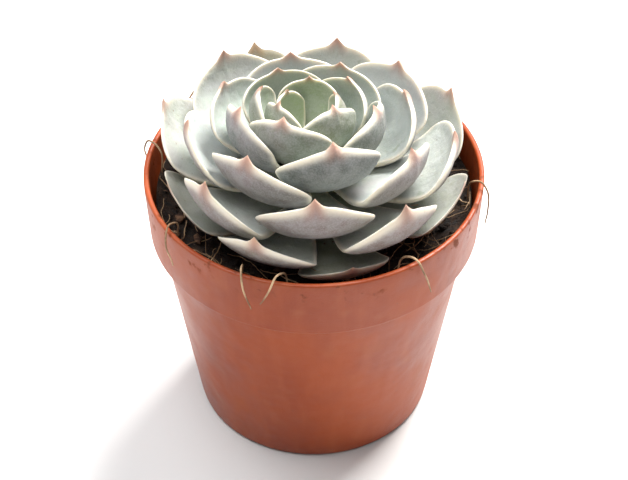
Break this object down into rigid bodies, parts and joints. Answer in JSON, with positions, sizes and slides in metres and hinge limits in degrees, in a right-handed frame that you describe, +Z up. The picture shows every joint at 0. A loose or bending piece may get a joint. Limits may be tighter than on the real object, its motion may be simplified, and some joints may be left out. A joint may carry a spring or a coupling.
{
  "type": "potted rosette succulent",
  "caption": "Rosette succulent with fleshy pointed leaves, growing in a round tapered plastic nursery pot filled with peat and coir.",
  "frame": {"origin": "centre of the pot's underside, in the plane it stands on", "axes": "+Z up along the pot's axis; -Y is the front, where the oldest leaf points; +X to the right"},
  "size_m": [0.0562, 0.0555, 0.0661],
  "materials": {
    "clay_plastic": "satin",
    "peat": "matte",
    "stem_green": "matte",
    "leaf_skin": "matte",
    "coir": "matte"
  },
  "bodies": {
    "root": {"pot": "clay_plastic", "growing_medium": "peat", "stem": "stem_green", "leaf_01": "leaf_skin", "leaf_02": "leaf_skin", "leaf_03": "leaf_skin", "leaf_04": "leaf_skin", "leaf_05": "leaf_skin", "leaf_06": "leaf_skin", "leaf_07": "leaf_skin", "leaf_08": "leaf_skin", "leaf_09": "leaf_skin", "leaf_10": "leaf_skin", "leaf_11": "leaf_skin", "leaf_12": "leaf_skin", "leaf_13": "leaf_skin", "leaf_14": "leaf_skin", "leaf_15": "leaf_skin", "leaf_16": "leaf_skin", "leaf_17": "leaf_skin", "leaf_18": "leaf_skin", "leaf_19": "leaf_skin", "leaf_20": "leaf_skin", "leaf_21": "leaf_skin", "leaf_22": "leaf_skin", "leaf_23": "leaf_skin", "leaf_24": "leaf_skin", "leaf_25": "leaf_skin", "leaf_26": "leaf_skin", "leaf_27": "leaf_skin", "leaf_28": "leaf_skin", "leaf_29": "leaf_skin", "leaf_30": "leaf_skin", "leaf_31": "leaf_skin", "leaf_32": "leaf_skin", "leaf_33": "leaf_skin", "leaf_34": "leaf_skin", "coir_fibre_1": "coir", "coir_fibre_2": "coir", "coir_fibre_3": "coir", "coir_fibre_4": "coir", "coir_fibre_5": "coir", "coir_fibre_6": "coir", "coir_fibre_7": "coir", "coir_fibre_8": "coir", "coir_fibre_9": "coir"}
  },
  "joints": []
}
